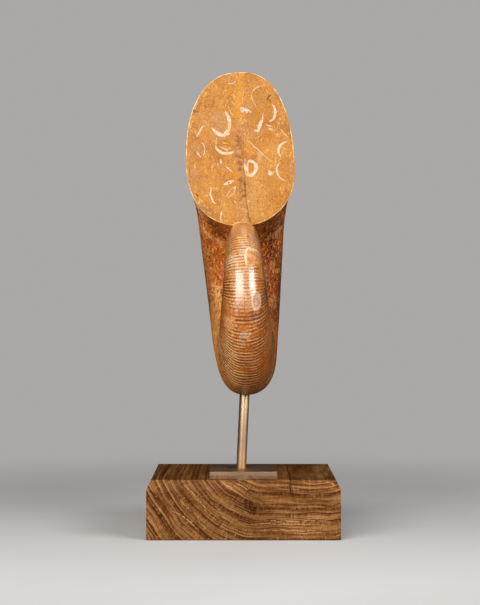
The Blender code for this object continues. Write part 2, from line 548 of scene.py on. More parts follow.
def make_face_stone():
    """Golden limestone, sawn and polished, with pale slices of small shells and a brown middle band."""
    material, tree, shader, place = new_material("sawn_golden_limestone")
    clouds = mottle(place, 60, 0.38, 0.62)
    colour = mix(clouds, (0.336, 0.121, 0.018), (0.426, 0.171, 0.029))
    pink = mottle(place, 45, 0.5, 0.66, shift=0.3)
    colour.lay(pink, 0.65, (0.38, 0.176, 0.066))
    amber = mottle(place, 75, 0.56, 0.66, shift=0.8)
    colour.lay(amber, 0.65, (0.47, 0.166, 0.013))

    # broad tones
    light = face_marks(place, 0.01, PINK_PLACES, 0.01)
    colour.lay(light, 0.36, (0.52, 0.248, 0.062))
    yellow = face_marks(place, 0.008, YELLOW_STREAKS, 0.004)
    colour.lay(yellow, 0.75, (0.506, 0.206, 0.019))
    swirl = face_marks(place, 0.006, SWIRL, 0.004)
    colour.lay(swirl, 0.5, (0.33, 0.146, 0.046))
    smudged = mottle(place, 240, 0.36, 0.56, 4, shift=3.7)
    stains = face_marks(place, 0.006, STAINS, 0.003) * (smudged * 0.65 + 0.35)
    colour.lay(stains, 0.9, (0.262, 0.112, 0.044))

    # pale grains, which come in crowds, then light and dark specks
    crowd = mottle(place, 110, 0.38, 0.62, 3, shift=0.5)
    grains = mottle(stretched(place, (1, 1, 0.6), (0, 0.5, 0)), 620, 0.53, 0.64, 4)
    colour.lay(grains * crowd, 0.8, (0.6, 0.335, 0.11))
    small = mottle(place, 1100, 0.52, 0.68, 2, shift=1.7)
    colour.lay(small, 0.5, (0.625, 0.325, 0.08))
    dust = mottle(place, 900, 0.52, 0.66, 3, shift=2.9)
    colour.lay(dust, 0.6, (0.21, 0.074, 0.014))
    specks = mottle(place, 560, 0.57, 0.66, shift=0.1)
    colour.lay(specks, 0.5, (0.198, 0.062, 0.012))

    # the brown middle band
    band = face_marks(place, 0.005, BAND, 0.0011)
    band_tone = mix(mottle(place, 400, 0.36, 0.62), (0.195, 0.064, 0.014), (0.44, 0.194, 0.062))
    colour.lay(band, 0.9, band_tone)
    band_edges = face_marks(place, 0.003, BAND_EDGES, 0.001)
    colour.lay(band_edges, 0.5, (0.25, 0.086, 0.018))

    # the small shells and the cracks
    on_face = face_place(place, 0.002)
    broken = mottle(place, 330, 0.3, 0.58, 3)
    faint = all_slices(on_face, FAINT_FRAGMENTS, 0.0005) * broken
    colour.lay(faint, 0.7, (0.703, 0.438, 0.152))
    smudges = all_slices(on_face, SMUDGES, 0.0012)
    colour.lay(smudges, 0.8, (0.47, 0.26, 0.11))
    milky = mottle(place, 480, 0.4, 0.6, 3, shift=4.3)
    calcite = mix(milky, (0.56, 0.32, 0.165), (0.69, 0.525, 0.4))
    colour.lay(all_slices(on_face, FRAGMENTS, 0.0006), 0.92, calcite)
    dark = all_slices(on_face, DARK_FRAGMENTS, 0.0006)
    colour.lay(dark * (broken * 0.5 + 0.5), 0.88, (0.12, 0.036, 0.006))

    # the cut wall of the shell, all round
    from_edge = (broken - 0.5) * 0.0004 + attribute(tree, "from_edge", "Fac")
    wall = fade(from_edge, 0.0006, 0.0009, 1, 0)
    wall_tone = mix(mottle(place, 140, 0.4, 0.6), (0.45, 0.196, 0.054), (0.752, 0.528, 0.248))
    colour.lay(wall, 0.9, wall_tone)

    colour.feed(shader["Base Color"])
    fade(highest(specks, dark), 0, 1, 0.3, 0.5).feed(shader["Roughness"])
    bumped(1 - (dark + specks * 0.4), 0.00012, 0.5).feed(shader["Normal"])
    shader["Specular IOR Level"].default_value = 0.15
    return material


# ------ the shell's surface


def make_patch_group():
    """How much of a point one patch covers, with a ragged edge."""
    tree, inlets, outlet = new_group(
        "ragged_patch",
        place=None,
        centre=None,
        half_size=None,
        ragged=0.2,
        squareness=2,
        rough_noise=0.5,
    )
    place, centre, half_size, ragged, squareness, rough_noise = inlets
    arm = abs((place - centre) / half_size)
    along = arm.dot(RIGHT).maths("POWER", squareness)
    across = arm.dot(BACK).maths("POWER", squareness)
    far = along + across + (rough_noise - 0.5) * ragged
    fade(far, 0.85, 1.1, 1, 0).feed(outlet)
    return tree


PATCH = make_patch_group()


def patch(place, rough_noise, degrees, side, half_length, half_width, ragged=2, squareness=2):
    """A patch on the shell: degrees back from the mouth and side, with its half-sizes."""
    return use_group(
        PATCH,
        place=place,
        centre=(degrees, side, 0),
        half_size=(half_length, half_width, 1),
        ragged=ragged,
        squareness=squareness,
        rough_noise=rough_noise,
    )


# Patches of bare or stained shell, pale and red, where some pale ones are painted light as marked:
# degrees back from the mouth, side, half-sizes, raggedness, squareness, how strongly they cover,
# and their colour
PALE_AND_PAINTED_LIGHT_PATCHES = (
    (320, 0, 11, 1.4, 3, 4, 0.75, (0.462, 0.243, 0.111)),
    (318, 0.1, 10, 0.16, 4, 2, 0.45, (0.69, 0.43, 0.22)),
    (306, 0, 4, 0.3, 6, 2, 0.55, (0.8, 0.54, 0.2)),
    (288, -0.62, 5, 0.2, 7, 2, 0.6, (0.82, 0.56, 0.25)),
    (292, -0.25, 17, 0.85, 5, 3, 0.4, (0.708, 0.418, 0.17)),
    (303.5, 0.62, 9.5, 0.42, 7, 3, 0.5, (0.64, 0.41, 0.24)),
    (285.5, -0.42, 4.5, 0.24, 7, 3, 0.45, (0.731, 0.57, 0.37)),
    (266, 0, 16, 0.62, 5, 3, 0.4, (0.708, 0.456, 0.252)),
    (243.8, 0.46, 3.4, 0.3, 9, 2, 0.45, (0.7, 0.42, 0.22)),
    # painted reflection: a pale spot low on the keel
    (235.6, 0, 2.6, 0.24, 8, 2, 0.7, (0.74, 0.53, 0.35)),
    (207, -0.46, 17, 0.28, 6, 2, 0.5, (0.84, 0.38, 0.1)),
    (241, -0.6, 5.5, 0.28, 6, 2, 0.5, (0.8, 0.44, 0.18)),
    (222, -0.68, 12, 0.26, 7, 2, 0.45, (0.8, 0.42, 0.15)),
    # painted light on the bottom of the keel, which faces down
    (194, 0, 13, 0.95, 5, 3, 0.5, (0.78, 0.29, 0.06)),
    (188, 0.78, 4, 0.1, 9, 2, 0.7, (0.84, 0.56, 0.33)),
    # painted highlights along the left and right edges of the keel
    (206, -0.97, 9, 0.06, 8, 2, 0.5, (0.8, 0.48, 0.21)),
    (214, 0.95, 12, 0.05, 8, 2, 0.4, (0.64, 0.42, 0.21)),
    (230.6, -0.17, 2.6, 0.14, 6, 2, 0.5, (0.585, 0.365, 0.163)),
    # the lower left side: its own orange tone, made paler as painted light where it faces the lamps
    (148, -0.9, 50, 0.3, 8, 2, 0.65, (0.92, 0.38, 0.075)),
    (134, -0.88, 44, 0.24, 8, 2, 0.65, (0.92, 0.38, 0.075)),
    (68, -0.78, 44, 0.42, 6, 2, 0.3, (0.52, 0.15, 0.016)),
    (70, 0.78, 50, 0.42, 6, 2, 0.3, (0.48, 0.14, 0.018)),
)
RED_PATCHES = (
    (249, -0.7, 8, 0.36, 5, 3, 0.65, (0.323, 0.129, 0.033)),
    (258, 0.9, 7, 0.2, 5, 2, 0.55, (0.139, 0.049, 0.019)),
    (265, -0.84, 9, 0.22, 6, 2, 0.6, (0.231, 0.034, 0.004)),
    (246.4, 0.23, 2.6, 0.15, 5, 2, 0.8, (0.616, 0.152, 0.016)),
    (228, -0.34, 2.8, 0.13, 5, 2, 0.75, (0.755, 0.243, 0.037)),
    (210, 0.7, 10, 0.26, 5, 3, 0.6, (0.38, 0.1, 0.014)),
    (244.5, -0.1, 3.6, 0.5, 6, 3, 0.45, (0.4, 0.09, 0.01)),
    (226, 0.3, 8, 0.4, 7, 3, 0.4, (0.42, 0.11, 0.014)),
)
# Pale flakes on the two sides, over the shaded patches
FLAKES = (
    (98, -0.74, 9, 0.12, 8, 2, 0.45, (0.82, 0.45, 0.14)),
    (106, -0.7, 16, 0.09, 7, 2, 0.45, (0.9, 0.46, 0.15)),
    (40, -0.46, 5, 0.12, 7, 2, 0.45, (0.78, 0.4, 0.17)),
    (38.5, -0.74, 2.2, 0.18, 9, 2, 0.5, (0.78, 0.4, 0.15)),
    (41, 0.8, 4, 0.08, 9, 2, 0.5, (0.76, 0.4, 0.18)),
    (38, 0.58, 2, 0.16, 9, 2, 0.35, (0.72, 0.36, 0.16)),
    (72, 0.73, 5, 0.08, 7, 2, 0.45, (0.82, 0.33, 0.04)),
    (79, 0.83, 1.8, 0.1, 8, 2, 0.5, (0.8, 0.48, 0.14)),
    (112, 0.8, 7, 0.09, 9, 2, 0.4, (0.8, 0.42, 0.18)),
)
# Stretches that are darker than the rest, some of them painted shade as marked: their colour
# multiplies what is under it
DARK_AND_PAINTED_SHADE_PATCHES = (
    (56, -0.58, 9, 0.14, 6, 2, 0.7, (0.66, 0.62, 0.46)),
    (51, 0.58, 8, 0.18, 6, 2, 0.6, (0.74, 0.66, 0.36)),
    # painted shade: the right side darker, away from the lamps
    (75, 0.8, 60, 0.55, 4, 2, 0.88, (0.62, 0.3, 0.07)),
    (66, -0.72, 44, 0.48, 4, 2, 0.75, (0.88, 0.63, 0.34)),
    (214, -0.3, 4, 0.36, 8, 2, 0.45, (0.76, 0.62, 0.48)),
    (200, 0.36, 5, 0.4, 8, 2, 0.45, (0.74, 0.6, 0.46)),
    # painted shade: the upper keel under the mouth darker, where the raised lamps light it more
    (289, -0.12, 15, 0.8, 4, 2, 0.5, (0.8, 0.78, 0.84)),
    (246, 0.28, 4.5, 0.34, 4, 2, 0.65, (0.66, 0.5, 0.36)),
    (252, -0.02, 6, 0.22, 4, 2, 0.4, (0.82, 0.74, 0.66)),
    (248.5, 0.5, 3.2, 0.28, 5, 2, 0.55, (0.56, 0.48, 0.4)),
    (240, 0.66, 20, 0.2, 4, 2, 0.65, (0.74, 0.57, 0.4)),
    (205, 0.64, 28, 0.3, 4, 2, 0.6, (0.86, 0.7, 0.5)),
    (229, 0.08, 4.2, 0.5, 5, 2, 0.32, (0.72, 0.56, 0.42)),
    (244, 0.12, 9, 0.55, 5, 2, 0.3, (0.82, 0.68, 0.5)),
    # painted shadow under the overhang of the sawn mouth, right side
    (26, 0.6, 24, 0.42, 5, 2, 0.8, (0.32, 0.22, 0.2)),
    (62, 0.62, 9, 0.16, 6, 2, 0.65, (0.38, 0.25, 0.22)),
    # painted shadow under the overhang of the sawn mouth, left side
    (17, -0.42, 13, 0.3, 5, 2, 0.75, (0.35, 0.24, 0.22)),
    (47, -0.82, 7, 0.12, 6, 2, 0.5, (0.48, 0.33, 0.28)),
)


def lay_patches(colour, place, rough_noise, grain, patches, blend_type="MIX"):
    """Lays a list of patches over a colour, each broken by the grain."""
    for *sizes, strength, paint in patches:
        colour.lay(patch(place, rough_noise, *sizes) * grain, strength, paint, blend_type)


def make_shell_stone():
    """Rusty polished shell: pale rib crests, dark grooves, cream and red clouds, and patches where
    the ribs are worn away or the outer shell is missing, with painted shade under the sawn mouth and
    on the right side, and painted light low on the keel, along its edges and on the lower left side."""
    material, tree, shader, place = new_material("polished_rusty_shell")
    rib_place = attribute(tree, "rib_place", "Vector")
    shell_place = attribute(tree, "shell_place", "Vector")
    ragged = noise_value(place, 420, 3)
    grit = noise_value(place, 1000, 2)
    where = (shell_place, ragged)

    # the rusty ground: amber and red-brown clouds, small dark blotches, pale flecks and threads
    clouds = mottle(place, 65, 0.42, 0.58, 9)
    colour = mix(clouds, (0.32, 0.042, 0.001), (0.76, 0.15, 0.004))
    blotches = mottle(place, 250, 0.49, 0.57, 6, shift=0.4)
    colour.lay(blotches, 0.75, (0.154, 0.021, 0.001))
    fibres = mottle(stretched(place, (1, 1, 0.35), (0, 0.35, 0)), 480, 0.54, 0.62, 4)
    colour.lay(fibres, 0.5, (0.76, 0.23, 0.014))
    flecks = mottle(place, 330, 0.565, 0.615, 6, shift=1.1)
    colour.lay(flecks, 0.75, (0.78, 0.29, 0.03))
    cream = mottle(place, 120, 0.61, 0.67, 9, shift=2.3)
    colour.lay(cream, 0.6, (0.78, 0.35, 0.07))
    front = patch(*where, 255, 0, 62, 1.02, 3, 6)
    smooth_clouds = mottle(place, 90, 0.38, 0.62, 6, shift=3.1)
    calm = mix(smooth_clouds, (0.323, 0.074, 0.008), (0.64, 0.208, 0.036))
    calm.lay(mottle(place, 230, 0.5, 0.6, 4), 0.6, (0.22, 0.04, 0.004))
    colour.lay(front, 0.65, calm)
    grain = fade(noise_value(moved(place, 5.3), 700, 4, 0.65), 0.36, 0.56, 0.35, 1.15)
    lay_patches(colour, *where, grain, RED_PATCHES)
    lay_patches(colour, *where, grain, PALE_AND_PAINTED_LIGHT_PATCHES)
    threads_place = stretched(moved(place, 4.1), (1, 1, 0.4), (0, -0.6, 0))
    threads = mottle(threads_place, 750, 0.54, 0.63, 3)
    colour.lay(threads, 0.55, (0.78, 0.32, 0.06))
    dents = mottle(place, 700, 0.54, 0.63, 3, shift=6.1)
    colour.lay(dents, 0.55, (0.12, 0.018, 0.001))

    # the ribs, each of which is stronger in some stretches than in others
    shaken = ragged * 0.16 + rib_place.dot(RIGHT)
    wave = (shaken * math.tau).maths("COSINE")
    stretches_place = rib_place * (0, 0, 30) + combined(shaken.maths("FLOOR") * 0.73)
    crest_stretches = fade(noise_value(stretches_place, 1, 3), 0.36, 0.6)
    groove_stretches = fade(noise_value(moved(stretches_place, 3), 1.6, 3), 0.34, 0.56)
    broken = fade(noise_value(place, 95, 5), 0.32, 0.52, 0.25, 1)
    relief = attribute(tree, "rib_strength", "Fac") * broken
    crest = fade(wave, -0.4, -0.88) * relief * (crest_stretches * 0.65 + 0.35)
    groove = fade(wave, 0.1, 0.7) * relief * (groove_stretches * 0.38 + 0.62)
    colour.lay(groove, 0.92, (0.058, 0.01, 0.001))
    warm = patch(*where, 243, 0.1, 11, 0.75, 5, 2)
    warm = highest(warm, mottle(place, 70, 0.5, 0.62, shift=7.2))
    crest_tone = mix(warm, (0.84, 0.56, 0.265), (0.7, 0.35, 0.105))
    # painted light: the rib crests paler low on the keel, where the lamps reach it less
    low = patch(*where, 206, 0, 27, 1.15, 5, 4)
    crest_tone.lay(low, 0.9, (0.93, 0.64, 0.33))
    colour.lay(crest, 0.95, crest_tone)

    # darker stretches and painted shade, flakes, and the nicks of the two sides
    lay_patches(colour, *where, grain, DARK_AND_PAINTED_SHADE_PATCHES, "MULTIPLY")
    lay_patches(colour, *where, grain, FLAKES)
    near_mouth = patch(*where, 66, 0, 62, 1.3, 6, 4)
    off_front = (1 - front) * (near_mouth * 0.6 + 0.4)
    nicks_place = stretched(moved(place, 8.1), (1, 0.55, 0.55), (0, 0.6, 0))
    nicks = noise_value(nicks_place, 520, 4, 0.7)
    colour.lay(fade(nicks, 0.56, 0.63) * off_front, 0.8, (0.8, 0.36, 0.085))
    colour.lay(fade(nicks, 0.45, 0.37) * off_front, 0.78, (0.07, 0.012, 0.001))

    # the places where the outer shell has come off, and the oval one that is ground smooth
    bald_edge = patch(*where, 288.4, 0.465, 8.2, 0.385, 4, 4)
    bald = patch(*where, 287.6, 0.52, 7.4, 0.36, 4, 4)
    strip = patch(*where, 278.5, 0.84, 7, 0.17, 5, 3)
    oval_edge = patch(*where, 256.8, 0.52, 6.6, 0.215, 1.6)
    oval = patch(*where, 256.8, 0.53, 5.3, 0.155, 1.2)
    bare_tone = mix(mottle(place, 300, 0.4, 0.62), (0.431, 0.144, 0.025), (0.616, 0.289, 0.096))
    oval_tone = mix(mottle(place, 420, 0.4, 0.6), (0.35, 0.165, 0.082), (0.54, 0.29, 0.155))
    colour.lay(bald_edge, 0.8, (0.731, 0.593, 0.444))
    colour.lay(highest(bald, strip), 0.95, bare_tone)
    colour.lay(oval_edge, 0.8, (0.69, 0.44, 0.3))
    colour.lay(oval, 0.95, oval_tone)
    colour.lay(fade(grit, 0.54, 0.72), 0.35, (0.7, 0.35, 0.1))
    colour.lay(fade(grit, 0.46, 0.28), 0.45, (0.062, 0.014, 0.003))

    colour.feed(shader["Base Color"])
    dull = highest(oval, groove, blotches * 0.4)
    fade(dull, 0, 1, 0.3, 0.52).feed(shader["Roughness"])
    fine = (1 - highest(bald, oval)) + crest * 0.6 + groove * -0.6 + grit * 0.12
    bumped(fine, 0.0002, 0.6).feed(shader["Normal"])
    dim = highest(patch(*where, 84, 0.58, 20, 0.14, 3), bald * 0.5)
    (highest(oval, dim) * -0.85 + 1).feed(shader["Coat Weight"])
    shader["Coat Roughness"].default_value = 0.21
    shader["Coat IOR"].default_value = 1.75
    return material


# ------ the shell's shape

# Slow and quick noise over the shell: its scale, how far it shakes the ribs, in ribs, and how far
# it moves the surface, in metres
SLOW_SCALE = 38
SLOW_SHAKE = 0.3
SLOW_ROLL = 0.00035
QUICK_SCALE = 130
QUICK_SHAKE = 0.12
QUICK_ROLL = 0.0001
# The stretch where the ribs are rubbed low: degrees back from the mouth, reach, side and share
RUBBED_AT = 275
RUBBED_REACH = 27
RUBBED_SIDE = 0.75
RUBBED_SHARE = 0.93
# The ribs reach their full depth this many rings from the sawn mouth
FIRST_RIB_RINGS = 10
# Small chips of the sawn mouth's rim: the noise's scale, and their depth in metres
CHIP_SCALE = 330
CHIP_DEPTH = 0.00012
# The ribs are sharper than a wave by this power, and drift this fast in strength across and along
RIB_SHARPNESS = 1.6
STRENGTH_DRIFT = (0.63, 0.15)
# The strength of a rib: its mean, how far it drifts, and its least
RIB_STRENGTH = (0.8, 0.7, 0.2)
# The ribs fade out on the inner side of the whorl: where, as the girth's cosine, and over how much
INNER_FADE = (-0.92, 0.35)
# Where a worn place ends, and how wide its soft edge is, both as squares of its half-sizes
WORN_EDGE = (1.35, 0.5)
# The random wear takes this share of a rib at most
RANDOM_WEAR = 0.75
# Where a tube starts, well off the axis it is wound round
START_HEIGHT = 3


def section_outline(points):
    """The whorl's outline: side, from -1 to 1, and depth, from 0 outside to 1 inside, at each point."""
    girth = np.arange(points) * (math.tau / points)
    across = np.abs(np.sin(girth))
    down = np.abs(np.cos(girth))
    outer = np.cos(girth) > 0
    roundness = np.where(outer, OUTER_ROUNDNESS, INNER_ROUNDNESS)
    side = np.sign(np.sin(girth)) * across ** (2 / roundness)
    away = down ** (2 / roundness)
    depth = np.where(outer, WIDEST_AT * (1 - away), WIDEST_AT + (1 - WIDEST_AT) * away)
    return girth, side, depth


def ring_radii(start_turn, end_radius):
    """The whorl's outer radius at each ring. Ribs keep their spacing on the outer turn and shrink
    with the coil inside it."""
    inner_start = MOUTH_RADIUS / WHORL_EXPANSION
    radius = MOUTH_RADIUS / WHORL_EXPANSION**start_turn
    radii = [radius]
    while radius > end_radius:
        turn = math.degrees(math.log(MOUTH_RADIUS / radius) / GROWTH)
        wide = sum(share * math.exp(-(((turn - at) / reach) ** 2)) for at, reach, share in WIDE_RIBS)
        spacing = RIB_SPACING * min(1, radius / inner_start) * (1 + wide)
        radius -= math.sin(PITCH) * spacing / RINGS_PER_RIB
        radii.append(radius)
    return np.array(radii)


def coil_points(radii, points):
    """The place of every point of the smooth whorls, ring by ring, about the coil's own axis."""
    girth, side, depth = section_outline(points)
    turn = np.log(MOUTH_RADIUS / radii) / GROWTH
    inner = radii / WHORL_EXPANSION * (1 - WHORL_OVERLAP)
    reach = radii[:, None] - depth[None, :] * (radii - inner)[:, None]
    half_width = radii * MOUTH_PROPORTION / 2
    x = side[None, :] * half_width[:, None]
    y = reach * np.sin(turn)[:, None]
    z = reach * np.cos(turn)[:, None]
    return np.stack([x, y, z], axis=-1).reshape(-1, 3), girth, side, turn


def wind_tube(name, rings, points):
    """A ring screwed into a tube with the right number of rings, each of which is then put in place."""
    deselect_all()
    bpy.ops.mesh.primitive_circle_add(
        vertices=points,
        location=(0, 0, START_HEIGHT),
        rotation=(math.pi / 2, 0, 0),
    )
    tube = new_piece(name)
    apply_modifier(
        tube,
        "wind",
        "SCREW",
        axis="X",
        angle=math.pi,
        steps=rings - 1,
        render_steps=rings - 1,
        use_merge_vertices=False,
    )
    return tube


def smooth_noise(places, scale, offset):
    """Soft noise from -1 to 1 at each place."""
    shift = Vector(offset)
    return np.array([noise.noise(Vector(place) * scale + shift) for place in places])


# Low swellings and hollows of the real shell: degrees back from the mouth, degrees round from the
# keel (right positive), their half-sizes, and height in millimetres
SWELLINGS = (
    (0, -35, 45, 32, -1.2),
    (0, -85, 45, 42, -0.5),
    (0, 60, 45, 32, -1.15),
    (0, 112, 20, 25, 0.9),
    (42, 95, 32, 42, -1.1),
    (33, -95, 18, 42, -0.9),
    (190, 62, 45, 38, 1.2),
    (188, 0, 30, 42, 0.5),
    (285, -90, 45, 45, -0.8),
    (345, -60, 25, 50, -0.6),
    (345, 60, 25, 50, 0.5),
)
# Where the ribs are worn off: degrees back from the mouth, side, half-sizes, and how far
WORN_PLACES = (
    (322, 0, 13, 2, 1),
    (303.5, 0.62, 9, 0.4, 0.75),
    (288, 0.52, 7.5, 0.36, 1),
    (278.5, 0.84, 7, 0.18, 1),
    (256.6, 0.53, 6.2, 0.2, 1),
    (247, -0.74, 9.5, 0.34, 0.8),
    (256, 0, 6, 0.5, 0.55),
    (210, 0.78, 10, 0.28, 0.85),
    (273, -0.1, 13, 0.5, 0.32),
)


def swell(turn, girth):
    """The height of the swellings at each place, in metres."""
    height = np.zeros(np.broadcast(turn, girth).shape)
    for degrees, round_degrees, half_length, half_girth, size in SWELLINGS:
        along = (np.degrees(turn) - degrees) / half_length
        across = (np.degrees(girth) - round_degrees) / half_girth
        height += size * MM * np.exp(-(along**2) - across**2)
    return height


def rib_wear(turn, side):
    """How far the ribs are worn off at each place, with a soft edge to each worn place."""
    wear = np.zeros_like(turn)
    edge, softness = WORN_EDGE
    for degrees, across, half_length, half_width, most in WORN_PLACES:
        along = (np.degrees(turn) - degrees) / half_length
        far = along**2 + ((side - across) / half_width) ** 2
        wear = np.maximum(wear, most * np.clip((edge - far) / softness, 0, 1))
    return wear


def store(mesh, name, values, kind="FLOAT"):
    """Keeps a value or a place for each point of a mesh, for its material to read."""
    field = "value" if kind == "FLOAT" else "vector"
    kept = mesh.attributes.new(name, kind, "POINT")
    kept.data.foreach_set(field, values.astype(np.float32).ravel())


def shape_whorls(name, start_turn, end_radius, points):
    """A stretch of the coil with its ribs, from start_turn turns back from the mouth."""
    radii = ring_radii(start_turn, end_radius)
    rings = len(radii)
    tube = wind_tube(name, rings, points)
    mesh = tube.data
    places, girth, side, turn = coil_points(radii, points)
    mesh.vertices.foreach_set("co", places.astype(np.float32).ravel())
    mesh.update()

    all_turn = np.repeat(turn, points)
    all_side = np.tile(side, rings)
    all_girth = np.tile((girth + math.pi) % math.tau - math.pi, rings)
    normals = np.empty(len(places) * 3, np.float32)
    mesh.vertices.foreach_get("normal", normals)
    normals = normals.reshape(-1, 3)
    outward = np.stack([np.zeros(rings), np.sin(turn), np.cos(turn)], axis=-1)
    outward = np.repeat(outward, points, axis=0)
    keel = np.tile(np.cos(girth) > 0.9, rings)
    if (normals[keel] * outward[keel]).sum() < 0:
        normals = -normals

    slow = smooth_noise(places, SLOW_SCALE, (3.1, 7.7, 1.3))
    quick = smooth_noise(places, QUICK_SCALE, (9.2, 2.4, 5.5))
    ring_number = np.repeat(np.arange(rings), points)
    rib_number = ring_number / RINGS_PER_RIB + 100 * start_turn
    rib_number = rib_number + SLOW_SHAKE * slow + QUICK_SHAKE * quick

    # each rib has a strength of its own, which drifts along it, and none in the worn places
    across, along = STRENGTH_DRIFT
    rib_beat = np.stack([rib_number * across, all_girth * along, 0 * all_girth], axis=-1)
    single = smooth_noise(rib_beat, 1, (0, 4, 0))
    fade_at, fade_width = INNER_FADE
    inner_side = np.clip((np.cos(all_girth) - fade_at) / fade_width, 0, 1)
    random_wear = np.clip((slow * 0.6 + quick * 0.5 - 0.25) / 0.2, 0, 1) * RANDOM_WEAR
    wear = np.maximum(rib_wear(all_turn, all_side), random_wear)
    mean, drift, least = RIB_STRENGTH
    strength = np.clip(mean + drift * single, least, 1) * inner_side * (1 - wear)

    # the surface lies at the rib crests, and the grooves are cut into it
    wave = 0.5 + 0.5 * np.cos(rib_number * math.tau)
    radius = np.repeat(radii, points)
    scale = np.minimum(1, radius * WHORL_EXPANSION / MOUTH_RADIUS)
    sawn_side = 1 if start_turn else np.clip(ring_number / FIRST_RIB_RINGS, 0, 1)
    off_middle = (np.degrees(all_turn) - RUBBED_AT) / RUBBED_REACH
    rubbed = np.exp(-(off_middle**2) - (all_side / RUBBED_SIDE) ** 2)
    depth = RIB_DEPTH * (1 - RUBBED_SHARE * rubbed)
    relief = -depth * wave**RIB_SHARPNESS * strength + SLOW_ROLL * slow + QUICK_ROLL * quick
    relief = relief * scale * sawn_side + swell(all_turn, all_girth)
    places = places + normals * relief[:, None]
    mesh.vertices.foreach_set("co", places.astype(np.float32).ravel())

    coil_length = (MOUTH_RADIUS - radius) / math.sin(PITCH)
    store(mesh, "rib_strength", strength)
    rib_place = np.stack([rib_number, coil_length, all_girth * radius * 0.4], axis=-1)
    store(mesh, "rib_place", rib_place, "FLOAT_VECTOR")
    shell_place = np.stack([np.degrees(all_turn), all_side, 0 * all_side], axis=-1)
    store(mesh, "shell_place", shell_place, "FLOAT_VECTOR")
    return tube, rings


def close_end(tube, first_vert, points):
    """Fills one open end ring of a tube."""
    ring = range(first_vert, first_vert + points)
    for vert in tube.data.vertices:
        vert.select = vert.index in ring
    for line in tube.data.edges:
        line.select = all(index in ring for index in line.vertices)
    edit(tube)
    bpy.ops.mesh.select_mode(type="VERT")
    bpy.ops.mesh.edge_face_add()
    end_edit()


def finish_whorls(tube, rings, points, stone):
    """Closes both ends of a stretch of the coil and puts it where the shell stands."""
    close_end(tube, 0, points)
    close_end(tube, (rings - 1) * points, points)
    make_normals_face_out(tube)
    tube.data.transform(SHELL_PLACE)
    tube.data.update()
    smooth(tube, 50)
    tube.data.materials.append(stone)
    finish_piece(tube, "fossil_stone", "ammonite")


def make_whorls(stone):
    """The outer turn of the coil, and the inner turns, which start just under its inner end."""
    split_radius = MOUTH_RADIUS / WHORL_EXPANSION**SPLIT_TURN
    outer, rings = shape_whorls("outer_whorl", 0, split_radius, OUTER_SECTION_POINTS)
    finish_whorls(outer, rings, OUTER_SECTION_POINTS, stone)

    first_chamber = MOUTH_RADIUS * FIRST_CHAMBER_SHARE
    inner, rings = shape_whorls("inner_whorls", SPLIT_TURN, first_chamber, INNER_SECTION_POINTS)
    finish_whorls(inner, rings, INNER_SECTION_POINTS, stone)


def face_outline():
    """The sawn face's outline, on the coil's own axes, with its swellings and small chips."""
    girth, side, depth = section_outline(FACE_OUTLINE_POINTS)
    inner = MOUTH_RADIUS / WHORL_EXPANSION * (1 - WHORL_OVERLAP)
    outline = np.stack([
        side * MOUTH_RADIUS * MOUTH_PROPORTION / 2,
        MOUTH_RADIUS - depth * (MOUTH_RADIUS - inner),
    ], axis=-1)
    way = np.roll(outline, -1, axis=0) - np.roll(outline, 1, axis=0)
    normal = np.stack([-way[:, 1], way[:, 0]], axis=-1)
    normal /= np.linalg.norm(normal, axis=1)[:, None]
    turned_girth = (girth + math.pi) % math.tau - math.pi
    places = np.stack([outline[:, 0], 0 * side, outline[:, 1]], axis=-1)
    chips = CHIP_DEPTH * smooth_noise(places, CHIP_SCALE, (1, 2, 3))
    return outline + normal * (swell(0 * girth, turned_girth) + chips)[:, None]


def make_sawn_mouth():
    """The flat sawn and polished end of the last whorl, with the pale cut shell wall round it."""
    deselect_all()
    bpy.ops.mesh.primitive_circle_add(
        vertices=FACE_OUTLINE_POINTS,
        fill_type="NGON",
        rotation=(math.pi / 2, 0, 0),
    )
    face = new_piece("sawn_mouth")
    outline = face_outline()
    for vert, (x, z) in zip(face.data.vertices, outline):
        vert.co = (x, -FACE_PROUD, z)
    edit(face)
    bpy.ops.mesh.select_all(action="SELECT")
    bpy.ops.mesh.extrude_region_move(TRANSFORM_OT_translate={"value": (0, FACE_THICKNESS, 0)})
    bpy.ops.transform.resize(
        value=(FACE_BACK_SHARE, 1, FACE_BACK_SHARE),
        center_override=(0, 0, FACE_MIDDLE_HEIGHT),
    )
    end_edit()
    make_normals_face_out(face)
    select_faces(face, lambda polygon: polygon.normal.y < -0.9)
    edit(face)
    bpy.ops.mesh.select_mode(type="FACE")
    bpy.ops.mesh.region_to_loop()
    bpy.ops.mesh.bevel(offset=RIM_ROUND, segments=3, profile=0.5)
    end_edit()
    select_faces(face, lambda polygon: polygon.normal.y < -0.999)
    edit(face)
    bpy.ops.mesh.select_mode(type="FACE")
    bpy.ops.mesh.inset(thickness=SHELL_WALL - RIM_ROUND)
    bpy.ops.mesh.inset(thickness=FACE_BORDER)
    end_edit()
    corners = np.array([vert.co[:] for vert in face.data.vertices])
    gaps = [np.hypot(outline[:, 0] - x, outline[:, 1] - z).min() for x, _, z in corners]
    store(face.data, "from_edge", np.array(gaps))
    face.data.transform(SHELL_PLACE)
    face.data.materials.append(make_face_stone())
    smooth(face, 40)
    finish_piece(face, "fossil_stone", "ammonite")


# ------ the rod and the plate

ROD_LEAN = math.radians(2.6)
ROD_METAL = (0.9, 0.61, 0.37)
PLATE_METAL = (0.52, 0.34, 0.205)
GLANCING_PLATE_METAL = (0.42, 0.33, 0.23)
# Noise scales that draw the brushing out along the rod, and across the plate
ROD_BRUSHING = (900, 900, 25)
PLATE_BRUSHING = (25, 900, 900)
# The radii of the rounded edges, and the gap that keeps the plate's underside off the block
ROD_ROUND = 0.0004
PLATE_ROUND = 0.00035
BLOCK_ROUND = 0.0004
PLATE_GAP = 0.00002


